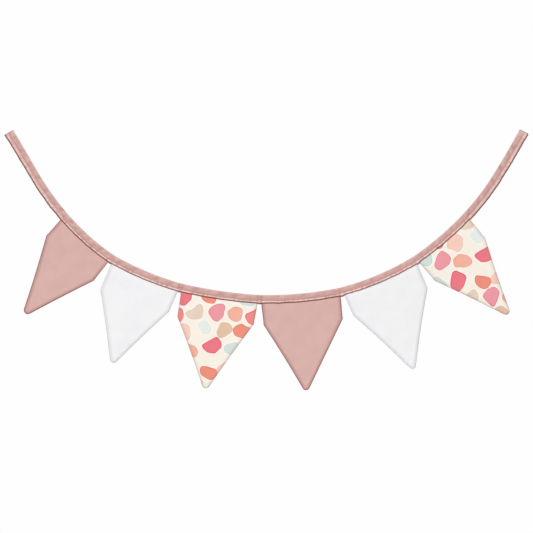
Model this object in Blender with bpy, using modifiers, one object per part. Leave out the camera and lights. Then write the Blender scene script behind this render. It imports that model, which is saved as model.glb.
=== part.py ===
"""Fabric bunting: six flags of doubled cloth, sewn into a folded tape that hangs in a swag by its ends.

Metres, +Z up, the front towards -Y. The origin is on the back of the tape's left end, in the middle of
the flat stretch by which that end is fixed, and the wall that it is fixed to is the plane y = 0.
"""

import math

import bmesh
import bpy
import numpy as np

MM = 0.001

# Cloth: every piece is a sheet of this thickness, with this much air between one layer and the next
CLOTH = 1.0 * MM
AIR = 0.3 * MM

# Tape: a strip folded in half over the flags' upper edges, its slope in degrees below the level
START_SLOPE = 61.0
START_WIDTH = 23.2 * MM
# section, its kind, length in mm, slope at its end, width of the folded tape at its end in mm
SECTIONS = (
    ("left_tab", "tab", 22, 59.4, 22.0),
    ("left_run", "run", 89.5, 59.7, 21.2),
    ("left_bend", "bend", 116, 49.2, 21.2),
    ("flag_1", "flag", 140, 34.8, 21.2),
    ("gap_1", "gap", 5.5, 29.3, 20.8),
    ("flag_2", "flag", 160, 16.1, 20.6),
    ("gap_2", "gap", 7, 12.9, 20.4),
    ("flag_3", "flag", 172.5, 3.75, 20.6),
    ("gap_3", "gap", 7.5, 0.85, 20.4),
    ("flag_4", "flag", 177, -11.35, 20.8),
    ("gap_4", "gap", 8, -15.15, 20.4),
    ("flag_5", "flag", 175, -31.2, 20.8),
    ("gap_5", "gap", 5.5, -34.75, 20.8),
    ("flag_6", "flag", 146.5, -46.9, 21.4),
    ("right_bend", "bend", 104.5, -57.4, 21.8),
    ("right_run", "run", 105, -61.1, 22.2),
    ("right_tab", "tab", 22, -62.5, 23.2),
)
END_TAB = 22 * MM  # length of each flat end stretch, as in the table above
TAB_POINT_DEPTH = 7.0 * MM  # how far the origin lies below the fold
WALL_PROUD = 0.2 * MM
# rows of the tape's wall: the edge that each is measured from, distance in mm, how far it stands proud in mm
WALL_ROWS = (
    ("fold", 4.5, 0.2),
    ("fold", 9.5, 0.2),
    ("hem", 8.2, 0.0),
    ("hem", 5.2, 0.5),
    ("hem", 2.4, 0.5),
    ("hem", 0.0, 0.0),
)
FOLD_STEPS = 4  # facets round the fold
RELAX_RUN = 12 * MM  # beyond a flag, how far the tape takes to close on itself
FLAG_MARGIN = 1.0 * MM  # how far the tape stays open past a flag's side
STEPS = {"tab": 2, "run": 4, "bend": 6, "flag": 6, "gap": 4}  # facets along each kind of section

# Sway: how far the swag hangs out from the wall, and its slow wave in and out
SWAY = 4.5 * MM
SWAY_WAVE = 1.8 * MM
SWAY_LENGTH = 610 * MM
SWAY_START = 150 * MM  # length over which the tape leaves the wall at each end

# Flags, in mm: the side seams and how far each flares out, the drop to the rounded point and how far it lies
# right of the middle; then how far the point swings out (+ is away from the wall) and the side edges curl
FLAG_COLUMNS = ("name", "cloth", "left_side", "left_flare", "right_side", "right_flare",
                "drop", "shift", "swing", "curl", "wave_start")
FLAGS = (
    ("flag_1", "rose", 48.3, -0.9, 52.7, 3.4, 211, 10, 3.0, 2.0, 0.4),
    ("flag_2", "white", 62.8, -0.6, 49, -1, 205, 7.5, 5.0, -1.6, 2.1),
    ("flag_3", "print", 54.7, 0, 46.6, -1.8, 206, -3.5, 2.0, 2.4, 3.9),
    ("flag_4", "rose", 48, -1.5, 50, 0, 203.4, -6.7, 4.5, 1.4, 5.2),
    ("flag_5", "white", 49, -0.8, 57.5, 0.2, 213.5, -11.3, 2.5, -2.2, 0.9),
    ("flag_6", "print", 53, 0, 51.7, -1.2, 217.4, -0.2, 5.5, 1.8, 2.8),
)
POINT_RADIUS = 9 * MM
TUCK = 14 * MM  # how far a panel runs up inside the tape
RIM = 4 * MM  # width of the rolled edge round a panel
LOFT = 0.7 * MM  # how far each panel stands off the middle of the flag
LOFT_RUN = 9 * MM  # distance from the seam over which it rises
WAVE = 1.1 * MM  # soft ripple across a flag
WAVE_LENGTH = 105 * MM
# Shares of a taper seam where a column of facets ends, and of a column where a row ends
TAPER_SHARES = (0.0, 0.05, 0.30, 0.65, 1.0)
ROW_SHARES = (0.06, 0.20, 0.40, 0.62, 0.82)
POINT_STEPS = 4

# Colours as linear values, and how rough each cloth is
CLOTHS = {
    "tape": ((0.630, 0.380, 0.345), 0.85),
    "rose": ((0.690, 0.445, 0.410), 0.9),
    "white": ((0.890, 0.890, 0.905), 0.9),
    "print": ((0.950, 0.800, 0.690), 0.9),
}


def smooth(share):
    """Rises from 0 to 1 with level ends as the share goes from 0 to 1."""
    share = np.clip(share, 0.0, 1.0)
    return share * share * (3.0 - 2.0 * share)


class Swag:
    """The run of the tape's fold: each section bends evenly from one slope to the next."""

    def __init__(self):
        lengths = [length * MM for _, _, length, _, _ in SECTIONS]
        self.ends = np.concatenate([[0.0], np.cumsum(lengths)])
        self.slopes = [START_SLOPE] + [slope for _, _, _, slope, _ in SECTIONS]
        self.widths = [START_WIDTH] + [width * MM for _, _, _, _, width in SECTIONS]
        self.length = self.ends[-1]
        self.fine = np.arange(0.0, self.length + 0.5 * MM, 0.5 * MM)
        middle = (self.fine[1:] + self.fine[:-1]) / 2
        slope = self.slope(middle)
        step = np.diff(self.fine)
        self.x = np.concatenate([[0.0], np.cumsum(np.cos(slope) * step)])
        self.z = np.concatenate([[0.0], -np.cumsum(np.sin(slope) * step)])
        start = self.point(END_TAB / 2, TAB_POINT_DEPTH)
        self.x -= start[0]
        self.z -= start[1]

    def slope(self, s):
        return np.radians(np.interp(s, self.ends, self.slopes))

    def width(self, s):
        """Width of the folded tape at distance s along the fold."""
        return np.interp(s, self.ends, self.widths)

    def point(self, s, depth):
        """(x, z) at distance s along the fold and this depth below it, square to the tape."""
        slope = self.slope(s)
        x = np.interp(s, self.fine, self.x) - depth * np.sin(slope)
        z = np.interp(s, self.fine, self.z) - depth * np.cos(slope)
        return np.stack(np.broadcast_arrays(x, z), axis=-1)

    def section(self, name):
        """Distances along the fold where a section starts and ends."""
        k = [row[0] for row in SECTIONS].index(name)
        return self.ends[k], self.ends[k + 1]

    def middle(self, s):
        """y of the tape's middle plane: flat against the wall at both ends, swaying out between them."""
        from_end = np.minimum(s, self.length - s) - END_TAB
        out = SWAY + SWAY_WAVE * np.sin(2 * math.pi * s / SWAY_LENGTH)
        return -tab_half_thickness() - smooth(from_end / SWAY_START) * out

    def half_gap(self, s):
        """Distance from the tape's middle plane to the middle of its wall, wide over a flag."""
        beyond = np.full(np.shape(s), self.length)
        for row in FLAGS:
            start, end = self.section(row[0])
            beyond = np.minimum(beyond, np.maximum(start - s, s - end))
        closed = AIR / 2 + CLOTH / 2
        open_over_flag = closed + CLOTH + AIR
        share = smooth((beyond - FLAG_MARGIN) / RELAX_RUN)
        return open_over_flag + (closed - open_over_flag) * share


def tab_half_thickness():
    """From the tape's middle plane to the outside of its wall, at the flat ends."""
    return AIR / 2 + CLOTH + WALL_PROUD


def tape_stations(swag):
    """Distances along the fold where the tape has a cross-section."""
    kinds = [kind for _, kind, _, _, _ in SECTIONS]
    bounds = swag.ends.copy()
    for k, kind in enumerate(kinds):
        if kind == "flag":
            bounds[k] -= FLAG_MARGIN
            bounds[k + 1] += FLAG_MARGIN
    stations = [bounds[:1]]
    for kind, start, end in zip(kinds, bounds[:-1], bounds[1:]):
        stations.append(np.linspace(start, end, STEPS[kind] + 1)[1:])
    return np.concatenate(stations)


def tape_points(swag):
    """The tape's middle surface: from the front hem up the front wall, over the fold and down the back."""
    s = tape_stations(swag)
    radius = swag.half_gap(s) + WALL_PROUD
    centre = CLOTH / 2 + radius
    front = []
    for edge, distance, proud in WALL_ROWS:
        depth = distance * MM if edge == "fold" else swag.width(s) - distance * MM
        front.append((depth, -(swag.half_gap(s) + proud * MM)))
    fold = []
    for k in range(FOLD_STEPS + 1):
        turn = math.pi * k / FOLD_STEPS
        fold.append((centre - radius * math.sin(turn), -radius * math.cos(turn)))
    back = [(depth, -out) for depth, out in front]
    rows = []
    for depth, out in front[::-1] + fold + back:
        place = swag.point(s, depth)
        rows.append(np.stack([place[:, 0], swag.middle(s) + out, place[:, 1]], axis=-1))
    return np.array(rows)


def tangent_point(corner, centre, radius, turn):
    """Where a straight line from the corner touches a circle, passing it on the side that turn gives."""
    towards = centre - corner
    distance = np.hypot(*towards)
    angle = turn * math.asin(radius / distance)
    cos, sin = math.cos(angle), math.sin(angle)
    x, z = towards / distance
    direction = np.array([cos * x - sin * z, sin * x + cos * z])
    return corner + direction * math.sqrt(distance**2 - radius**2)


def point_arc(start, end, centre, steps):
    """Places on the rounded point from one tangent point to the other, round its lower side."""
    first = math.atan2(*(start - centre)[::-1])
    last = math.atan2(*(end - centre)[::-1])
    if last < first:
        last += 2 * math.pi
    turns = np.linspace(first, last, steps + 1)
    return centre + POINT_RADIUS * np.stack([np.cos(turns), np.sin(turns)], axis=-1)


def lower_outline(flag, left, right, across, down):
    """The flag's outline below its side seams: left taper, rounded point, right taper."""
    left_corner = left + down * flag["left_side"] * MM - across * flag["left_flare"] * MM
    right_corner = right + down * flag["right_side"] * MM + across * flag["right_flare"] * MM
    point = (left + right) / 2 + across * flag["shift"] * MM + down * flag["drop"] * MM
    centre = point - down * POINT_RADIUS
    left_touch = tangent_point(left_corner, centre, POINT_RADIUS, -1)
    right_touch = tangent_point(right_corner, centre, POINT_RADIUS, 1)
    shares = np.array(TAPER_SHARES)[:, None]
    left_taper = left_corner + (left_touch - left_corner) * shares
    right_taper = right_touch + (right_corner - right_touch) * (1 - shares[::-1])
    arc = point_arc(left_touch, right_touch, centre, POINT_STEPS)
    return np.concatenate([left_taper, arc[1:-1], right_taper])


def distance_to_outline(places, outline):
    """Least distance from each place to the straight pieces of an outline."""
    nearest = np.full(places.shape[:-1], np.inf)
    for start, end in zip(outline[:-1], outline[1:]):
        along = end - start
        share = np.clip(((places - start) @ along) / (along @ along), 0.0, 1.0)
        foot = start + share[..., None] * along
        nearest = np.minimum(nearest, np.hypot(*np.moveaxis(places - foot, -1, 0)))
    return nearest


def panel_points(swag, flag, side):
    """One panel's inner face, as rows from its tucked upper edge down to the seam.

    Each column starts square to the tape and runs straight down the flag to the lower outline. A row's
    depth in y is the tape's own middle, plus the flag's swing, curl and ripple, plus half the air between
    the two panels and the loft, which is nought at the seam and under the tape.
    """
    start, end = swag.section(flag["name"])
    left = swag.point(start, swag.width(start))
    right = swag.point(end, swag.width(end))
    chord = right - left
    half_width = np.hypot(*chord) / 2
    across = chord / np.hypot(*chord)
    down = np.array([across[1], -across[0]])
    lower = lower_outline(flag, left, right, across, down)
    share = (lower - lower[0]) @ across / ((lower[-1] - lower[0]) @ across)
    s = start + (end - start) * share
    hem = swag.point(s, swag.width(s))
    length = np.hypot(*(lower - hem).T)[:, None]
    direction = (lower - hem) / length
    rows = [swag.point(s, swag.width(s) - TUCK), hem]
    rows += [hem + direction * (length - RIM) * part for part in ROW_SHARES]
    rows += [lower - direction * RIM, lower]
    places = np.array(rows)

    below = np.concatenate([[np.zeros(len(s))], np.hypot(*np.moveaxis(places[1:] - hem, -1, 0))])
    outline = np.concatenate([[left], lower, [right]])
    inside = distance_to_outline(places, outline)
    loft = LOFT * (1 - np.exp(-inside / LOFT_RUN)) * (1 - np.exp(-below / LOFT_RUN))
    fall = below / (flag["drop"] * MM)
    sideways = (places - (left + right) / 2) @ across
    swing = flag["swing"] * MM * fall**1.5
    curl = flag["curl"] * MM * (sideways / half_width) ** 2 * smooth(fall * 2)
    ripple = WAVE * np.sin(2 * math.pi * sideways / WAVE_LENGTH + flag["wave_start"]) * smooth(fall * 2)
    y = swag.middle(s) - swing - curl - ripple + side * (AIR / 2 + loft)
    return np.stack([places[..., 0], y, places[..., 1]], axis=-1)


def cloth_material(name):
    colour, roughness = CLOTHS[name]
    material = bpy.data.materials.new("cloth_" + name)
    material.use_nodes = True
    shader = material.node_tree.nodes["Principled BSDF"]
    shader.inputs["Base Color"].default_value = (*colour, 1.0)
    shader.inputs["Roughness"].default_value = roughness
    shader.inputs["Metallic"].default_value = 0.0
    return material


def add_sheet(name, points, material, collection, offset, turn_over):
    """A grid moved onto the points, row by row, and given the cloth's thickness."""
    rows, columns = points.shape[:2]
    bm = bmesh.new()
    bmesh.ops.create_grid(bm, x_segments=columns - 1, y_segments=rows - 1, size=1.0)
    for vertex in bm.verts:
        column = round((vertex.co.x + 1) / 2 * (columns - 1))
        row = round((vertex.co.y + 1) / 2 * (rows - 1))
        vertex.co = points[row, column]
    if turn_over:
        bmesh.ops.reverse_faces(bm, faces=bm.faces)
    mesh = bpy.data.meshes.new(name)
    bm.to_mesh(mesh)
    bm.free()
    mesh.materials.append(material)
    mesh.shade_smooth()
    sheet = bpy.data.objects.new(name, mesh)
    collection.objects.link(sheet)
    solid = sheet.modifiers.new("thickness", "SOLIDIFY")
    solid.thickness = CLOTH
    solid.offset = offset
    solid.use_even_offset = True
    return sheet


def main():
    for thing in list(bpy.data.objects):
        bpy.data.objects.remove(thing)
    collection = bpy.data.collections.new("fabric_bunting")
    bpy.context.scene.collection.children.link(collection)
    materials = {name: cloth_material(name) for name in CLOTHS}
    swag = Swag()
    add_sheet("tape", tape_points(swag), materials["tape"], collection, 0.0, False)
    for row in FLAGS:
        flag = dict(zip(FLAG_COLUMNS, row))
        for face, side in (("front", -1), ("back", 1)):
            name = flag["name"] + "_" + face
            points = panel_points(swag, flag, side)
            add_sheet(name, points, materials[flag["cloth"]], collection, 1.0, side < 0)


main()
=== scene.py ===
# %% [markdown]
# # A cotton bunting on its tape
# The real object is sewn from three cottons. Six flags are each two panels, sewn right sides together
# round the sides and the point and turned out, and their raw tops are caught in a tape that is folded
# over them and topstitched. The frame that is loaded here holds one plain solid for each panel and one
# for the tape. Everything below is drawn in that frame, in metres, with the wall at y = 0 behind.

# %% Load the frame
import math

import bpy
import numpy as np
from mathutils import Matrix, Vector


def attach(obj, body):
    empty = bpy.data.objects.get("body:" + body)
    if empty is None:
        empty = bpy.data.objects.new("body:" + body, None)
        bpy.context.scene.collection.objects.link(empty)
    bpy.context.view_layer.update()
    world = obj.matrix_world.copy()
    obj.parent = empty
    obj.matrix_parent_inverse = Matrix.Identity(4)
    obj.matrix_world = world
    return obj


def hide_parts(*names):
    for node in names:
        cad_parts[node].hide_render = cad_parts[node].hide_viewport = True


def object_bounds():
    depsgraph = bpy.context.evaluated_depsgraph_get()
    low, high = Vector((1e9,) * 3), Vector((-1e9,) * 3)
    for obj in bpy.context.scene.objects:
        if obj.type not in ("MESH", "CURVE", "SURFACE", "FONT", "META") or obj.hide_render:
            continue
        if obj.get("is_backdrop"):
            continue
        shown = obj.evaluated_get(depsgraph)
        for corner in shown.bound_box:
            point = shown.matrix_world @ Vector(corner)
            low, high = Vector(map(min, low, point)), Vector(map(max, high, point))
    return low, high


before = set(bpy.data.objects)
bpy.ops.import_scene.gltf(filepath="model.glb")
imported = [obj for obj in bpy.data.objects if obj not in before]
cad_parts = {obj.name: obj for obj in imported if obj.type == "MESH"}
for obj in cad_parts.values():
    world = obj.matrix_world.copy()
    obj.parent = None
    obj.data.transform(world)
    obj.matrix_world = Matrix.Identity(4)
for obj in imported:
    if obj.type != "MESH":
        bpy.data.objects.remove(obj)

solid_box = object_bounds()
print("solids:", len(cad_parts), "box", [round(x, 4) for corner in solid_box for x in corner])

# %% [markdown]
# The tape hangs in a swag. It could be a simulated rope, but a sewn tape keeps the same bend however
# often it is hung up, so its fold is written as a run of sections, each bending evenly from one slope
# to the next. Going along the fold by distance s gives every other piece its place.

# %% The run of the fold
MM = 0.001
START_SLOPE = 61.0
START_WIDTH = 23.2 * MM
# section, its length in mm, then at its end: degrees below the level, and width of the folded tape in mm
SECTIONS = (
    ("left_tab", 22, 59.4, 22.0),
    ("left_run", 89.5, 59.7, 21.2),
    ("left_bend", 116, 49.2, 21.2),
    ("flag_1", 140, 34.8, 21.2),
    ("gap_1", 5.5, 29.3, 20.8),
    ("flag_2", 160, 16.1, 20.6),
    ("gap_2", 7, 12.9, 20.4),
    ("flag_3", 172.5, 3.75, 20.6),
    ("gap_3", 7.5, 0.85, 20.4),
    ("flag_4", 177, -11.35, 20.8),
    ("gap_4", 8, -15.15, 20.4),
    ("flag_5", 175, -31.2, 20.8),
    ("gap_5", 5.5, -34.75, 20.8),
    ("flag_6", 146.5, -46.9, 21.4),
    ("right_bend", 104.5, -57.4, 21.8),
    ("right_run", 105, -61.1, 22.2),
    ("right_tab", 22, -62.5, 23.2),
)
END_TAB = 22 * MM
TAB_POINT_DEPTH = 7.0 * MM  # the origin lies this far below the fold, in the middle of the left end
ends = np.concatenate([[0.0], np.cumsum([row[1] * MM for row in SECTIONS])])
slopes = [START_SLOPE] + [row[2] for row in SECTIONS]
widths = [START_WIDTH] + [row[3] * MM for row in SECTIONS]
tape_length = ends[-1]


def slope_at(s):
    """How far the fold leans below the level at distance s, evenly changing along each section."""
    return np.radians(np.interp(s, ends, slopes))


def width_at(s):
    """Width of the folded tape at distance s, evenly changing along each section."""
    return np.interp(s, ends, widths)


fine = np.arange(0.0, tape_length + 0.5 * MM, 0.5 * MM)
between = (fine[1:] + fine[:-1]) / 2
fold_x = np.concatenate([[0.0], np.cumsum(np.cos(slope_at(between)) * np.diff(fine))])
fold_z = np.concatenate([[0.0], -np.cumsum(np.sin(slope_at(between)) * np.diff(fine))])


def place_at(s, depth):
    """(x, z): the fold at distance s, then down by the depth, square to the fold's own slope."""
    x = np.interp(s, fine, fold_x) - depth * np.sin(slope_at(s))
    z = np.interp(s, fine, fold_z) - depth * np.cos(slope_at(s))
    return np.stack(np.broadcast_arrays(x, z), axis=-1)


origin = place_at(END_TAB / 2, TAB_POINT_DEPTH)
fold_x -= origin[0]
fold_z -= origin[1]
print("tape along its fold:", round(float(tape_length), 3), "m")

# %% [markdown]
# Seen from above, the ends lie flat on the wall and the rest stands a few millimetres off it, in a
# slow wave. Over a flag the tape holds four layers, so its walls stand apart. Past a flag they close
# within 12 mm.

# %% How far out the tape lies
CLOTH = 1.0 * MM  # thickness of the frame's plain sheets
AIR = 0.3 * MM
SWAY = 4.5 * MM
SWAY_WAVE = 1.8 * MM
SWAY_LENGTH = 610 * MM
SWAY_START = 150 * MM
RELAX_RUN = 12 * MM
FLAG_MARGIN = 1.0 * MM
TAB_SLACK = 0.2 * MM
TAB_HALF_THICKNESS = AIR / 2 + CLOTH + TAB_SLACK
names = [row[0] for row in SECTIONS]
flag_names = [name for name in names if name.startswith("flag")]
gap_names = [name for name in names if name.startswith("gap")]


def smooth(share):
    """Rises from 0 to 1 with level ends as the share goes from 0 to 1."""
    share = np.clip(share, 0.0, 1.0)
    return share * share * (3.0 - 2.0 * share)


def section(name):
    """Distances along the fold where a section starts and ends."""
    k = names.index(name)
    return ends[k], ends[k + 1]


def to_end(s):
    """Distance along the fold to the nearer end of the tape."""
    return np.minimum(s, tape_length - s)


def middle_at(s):
    """y of the tape's middle plane: flat on the wall at both ends, plus a sway with one slow wave."""
    out = SWAY + SWAY_WAVE * np.sin(2 * math.pi * s / SWAY_LENGTH)
    return -TAB_HALF_THICKNESS - smooth((to_end(s) - END_TAB) / SWAY_START) * out


def beyond(s, name):
    """Distance along the tape to a section, less than 0 within it."""
    start, end = section(name)
    return np.maximum(start - s, s - end)


def beyond_flags(s):
    """Distance along the tape to the nearest flag, less than 0 over one."""
    return np.min([beyond(s, name) for name in flag_names], axis=0)


def held_open(s):
    """1 where a flag stands in the tape, falling smoothly to 0 beyond it."""
    return 1.0 - smooth((beyond_flags(s) - FLAG_MARGIN) / RELAX_RUN)


print("flags:", [f"{(section(n)[1] - section(n)[0]) * 1000:.0f} mm" for n in flag_names])

# %% [markdown]
# Cloth is never quite even. One small helper gives a soft, repeatable unevenness: a few long waves in
# directions that a seeded draw picks. A second one adds up several of them, and a third draws a smooth
# curve through rows of points.

# %% Helpers for uneven cloth
UNEVEN_WAVES = 8
UNEVEN_SPREAD = (0.65, 1.5)  # shortest and longest wave, as shares of the wavelength asked for
UNEVEN_SCALE = 3.2  # brings the sum of the waves to about 1


def unevenness(a, b, wavelength, seed, squeeze=1.0):
    """Mean-zero mix of eight sine waves about one wavelength long, mostly between -1 and 1."""
    rng = np.random.default_rng(seed)
    total = 0.0
    for _ in range(UNEVEN_WAVES):
        turn = rng.uniform(0, 2 * math.pi)
        rate = 2 * math.pi / (wavelength * rng.uniform(*UNEVEN_SPREAD))
        start = rng.uniform(0, 2 * math.pi)
        total = total + np.sin(rate * (a * math.cos(turn) + b * squeeze * math.sin(turn)) + start)
    return total / UNEVEN_SCALE


def layered(a, b, waves, seed=0, squeeze=1.0):
    """Unevenness of several sizes, added up. Waves are (strength, wavelength, own part of the seed)."""
    return sum(share * unevenness(a, b, length, seed + own, squeeze) for share, length, own in waves)


def smooth_through(rows, steps):
    """A cubic through every row, leaning at each one along the line between its two neighbours."""
    padded = np.concatenate([2 * rows[:1] - rows[1:2], rows, 2 * rows[-1:] - rows[-2:-1]])
    before, start, end, after = padded[:-3], padded[1:-2], padded[2:-1], padded[3:]
    t = (np.arange(steps) / steps).reshape((1, steps) + (1,) * (rows.ndim - 1))
    before, start, end, after = (part[:, None] for part in (before, start, end, after))
    curve = 0.5 * (
        2 * start
        + (end - before) * t
        + (2 * before - 5 * start + 4 * end - after) * t**2
        + (3 * start - before - 3 * end + after) * t**3
    )
    return np.concatenate([curve.reshape((-1,) + rows.shape[1:]), rows[-1:]])


# %% [markdown]
# Every piece goes into Blender in the same way: numpy works out its points as a grid, and one helper
# makes the grid a mesh with its cloth coordinates in metres and any masks. A mask is a number for each
# point, such as how far it is from the seam, and the finishes read it by name.

# %% Helpers for meshes
def add_object(name, data):
    """A new object in the scene."""
    thing = bpy.data.objects.new(name, data)
    bpy.context.scene.collection.objects.link(thing)
    return thing


def add_mesh(name, points, faces, cloth_uv, masks, material):
    """Points and faces as a shaded mesh object, its cloth coordinates in metres, its masks by name."""
    mesh = bpy.data.meshes.new(name)
    mesh.from_pydata(points.tolist(), [], faces.tolist())
    corners = np.zeros(len(mesh.loops), np.int32)
    mesh.loops.foreach_get("vertex_index", corners)
    layer = mesh.uv_layers.new(name="cloth")
    layer.uv.foreach_set("vector", cloth_uv[corners].astype(np.float32).ravel())
    for mask, values in masks.items():
        kind, field = ("FLOAT", "value") if values.ndim == 1 else ("FLOAT_COLOR", "color")
        store = mesh.attributes.new(mask, kind, "POINT")
        store.data.foreach_set(field, values.astype(np.float32).ravel())
    mesh.materials.append(material)
    mesh.shade_smooth()
    piece = add_object(name, mesh)
    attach(piece, "root")
    return piece


def add_grid(name, points, cloth_uv, masks, material, turned):
    """A grid of points joined into four-sided faces. Turned swaps the side that they face."""
    rows, columns = points.shape[:2]
    index = np.arange(rows * columns).reshape(rows, columns)
    around = [index[:-1, :-1], index[:-1, 1:], index[1:, 1:], index[1:, :-1]]
    faces = np.stack(around[::-1] if turned else around, axis=-1).reshape(-1, 4)
    flat = {mask: values.reshape((rows * columns,) + values.shape[2:]) for mask, values in masks.items()}
    return add_mesh(name, points.reshape(-1, 3), faces, cloth_uv.reshape(-1, 2), flat, material)


# %% [markdown]
# ## Finishes
# All the cloth is plain-weave cotton, so one node group makes the weave: warp and weft yarns are
# rounded ridges, and a chequer says which of them lies on top. It reads the cloth coordinates, which
# are in metres, so a yarn is as wide on every piece. A second group gives the soft cloudy difference
# in tone that washed and pressed cotton has.

# %% Node group for the weave
YARN = 0.42 * MM  # from one yarn to the next
SLUBS = (9.0, 260.0)  # thick places in a metre of yarn, and in a metre across the yarns
SOFT_NOISE = {"Detail": 2.0}


def new_group(name, inputs, outputs):
    """An empty shader group with its named sockets, given as (name, type, default)."""
    tree = bpy.data.node_groups.new(name, "ShaderNodeTree")
    for title, kind, default in inputs:
        socket = tree.interface.new_socket(title, in_out="INPUT", socket_type=kind)
        if default is not None:
            socket.default_value = default
    for title, kind in outputs:
        tree.interface.new_socket(title, in_out="OUTPUT", socket_type=kind)
    return tree, tree.nodes.new("NodeGroupInput"), tree.nodes.new("NodeGroupOutput")


def set_socket(tree, socket, value):
    """Links another node's output to a socket, or sets a plain value on it."""
    if isinstance(value, bpy.types.NodeSocket):
        tree.links.new(value, socket)
    else:
        socket.default_value = value


def new_node(tree, kind, settings=None, **inputs):
    """A new node with its settings made and its named inputs linked or set."""
    node = tree.nodes.new(kind)
    for setting, choice in (settings or {}).items():
        setattr(node, setting, choice)
    for title, value in inputs.items():
        set_socket(tree, node.inputs[title], value)
    return node


def math_node(tree, operation, *values):
    """A Math node whose inputs are numbers or sockets. Returns its output."""
    node = new_node(tree, "ShaderNodeMath", {"operation": operation})
    for socket, value in zip(node.inputs, values):
        set_socket(tree, socket, value)
    return node.outputs[0]


def make_weave_group():
    """Height: a half sine across each yarn, on whichever yarn the chequer puts on top. Slub: noise."""
    inputs = (("Vector", "NodeSocketVector", None), ("Yarn", "NodeSocketFloat", YARN))
    outputs = (("Height", "NodeSocketFloat"), ("Slub", "NodeSocketFloat"))
    tree, given, result = new_group("plain_weave", inputs, outputs)
    split = new_node(tree, "ShaderNodeSeparateXYZ", Vector=given.outputs["Vector"])
    ways = [math_node(tree, "DIVIDE", split.outputs[k], given.outputs["Yarn"]) for k in (0, 1)]
    turns = [math_node(tree, "MULTIPLY", way, math.pi) for way in ways]
    ridges = [math_node(tree, "ABSOLUTE", math_node(tree, "SINE", turn)) for turn in turns]
    steps = math_node(tree, "ADD", *(math_node(tree, "FLOOR", way) for way in ways))
    on_top = math_node(tree, "PINGPONG", steps, 1.0)
    weft = math_node(tree, "MULTIPLY", ridges[0], on_top)
    warp = math_node(tree, "MULTIPLY", ridges[1], math_node(tree, "SUBTRACT", 1.0, on_top))
    tree.links.new(math_node(tree, "ADD", weft, warp), result.inputs["Height"])
    slubs = []
    for stretch in (SLUBS, SLUBS[::-1]):
        scaled = new_node(tree, "ShaderNodeVectorMath", {"operation": "MULTIPLY"})
        set_socket(tree, scaled.inputs[0], given.outputs["Vector"])
        set_socket(tree, scaled.inputs[1], (*stretch, 0.0))
        noise = new_node(tree, "ShaderNodeTexNoise", Scale=1.0, Vector=scaled.outputs[0], **SOFT_NOISE)
        slubs.append(noise.outputs[0])
    tree.links.new(math_node(tree, "MULTIPLY", math_node(tree, "ADD", *slubs), 0.5), result.inputs["Slub"])
    return tree


weave_group = make_weave_group()
print("weave:", round(YARN * 1000, 2), "mm to the yarn")

# %% Node group for the cloudy tone
CLOUD = {"Scale": 34.0, "Roughness": 0.45}  # about 34 clouds to the metre


def make_tone_group():
    """Colour times one plus a soft noise and the yarns' own streaks."""
    inputs = (
        ("Colour", "NodeSocketColor", (0.8, 0.8, 0.8, 1.0)),
        ("Vector", "NodeSocketVector", None),
        ("Clouds", "NodeSocketFloat", 0.05),
        ("Slub", "NodeSocketFloat", 0.5),
        ("Streaks", "NodeSocketFloat", 0.08),
    )
    tree, given, result = new_group("cloudy_tone", inputs, (("Colour", "NodeSocketColor"),))
    noise = new_node(tree, "ShaderNodeTexNoise", Vector=given.outputs["Vector"], **CLOUD, **SOFT_NOISE)
    changes = []
    for value, amount in ((noise.outputs[0], "Clouds"), (given.outputs["Slub"], "Streaks")):
        even = math_node(tree, "SUBTRACT", value, 0.5)
        changes.append(math_node(tree, "MULTIPLY", even, given.outputs[amount]))
    factor = math_node(tree, "ADD", math_node(tree, "ADD", *changes), 1.0)
    scaled = new_node(tree, "ShaderNodeVectorMath", {"operation": "SCALE"},
                      Vector=given.outputs["Colour"], Scale=factor)
    tree.links.new(scaled.outputs[0], result.inputs["Colour"])
    return tree


tone_group = make_tone_group()

# %% [markdown]
# A finish starts the same way for every piece: cloth coordinates, weave, tone, a matt shader with a
# little sheen from the cotton's loose fibres. What differs is the colour and what happens near an
# edge, which the piece's own masks say: how far a point is from the seam, where a highlight is painted
# pale and where shade is painted deeper.

# %% Parts that every finish shares
COTTON = {"Specular IOR Level": 0.25, "Sheen Roughness": 0.45}
WEAVE_DEPTH = 0.03 * MM


def mask_socket(tree, name, output="Fac"):
    """What a piece's own mask says at a point."""
    return new_node(tree, "ShaderNodeAttribute", {"attribute_name": name}).outputs[output]


def fade(tree, value, start, end):
    """Goes smoothly from 0 at the value start to 1 at the value end, and stays there."""
    inputs = {"Value": value, "From Min": start, "From Max": end}
    node = new_node(tree, "ShaderNodeMapRange", {"interpolation_type": "SMOOTHSTEP"}, **inputs)
    return node.outputs["Result"]


def blend(tree, share, below, above):
    """Colour below where the share is 0, above where it is 1. Each is a colour or a socket."""
    node = new_node(tree, "ShaderNodeMix", {"data_type": "RGBA"}, Factor=share)
    for title, value in (("A", below), ("B", above)):
        is_socket = isinstance(value, bpy.types.NodeSocket)
        set_socket(tree, node.inputs[title], value if is_socket else (*value, 1.0))
    return node.outputs["Result"]


def start_finish(name, roughness, sheen):
    """A new material with its shader's even values set, and the cloth's coordinates and weave."""
    material = bpy.data.materials.new(name)
    material.use_nodes = True
    tree = material.node_tree
    shader = tree.nodes["Principled BSDF"]
    for title, value in {"Roughness": roughness, "Sheen Weight": sheen, **COTTON}.items():
        shader.inputs[title].default_value = value
    uv = new_node(tree, "ShaderNodeUVMap", {"uv_map": "cloth"}).outputs[0]
    weave = new_node(tree, "ShaderNodeGroup", {"node_tree": weave_group}, Vector=uv)
    return material, tree, shader, uv, weave


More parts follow.
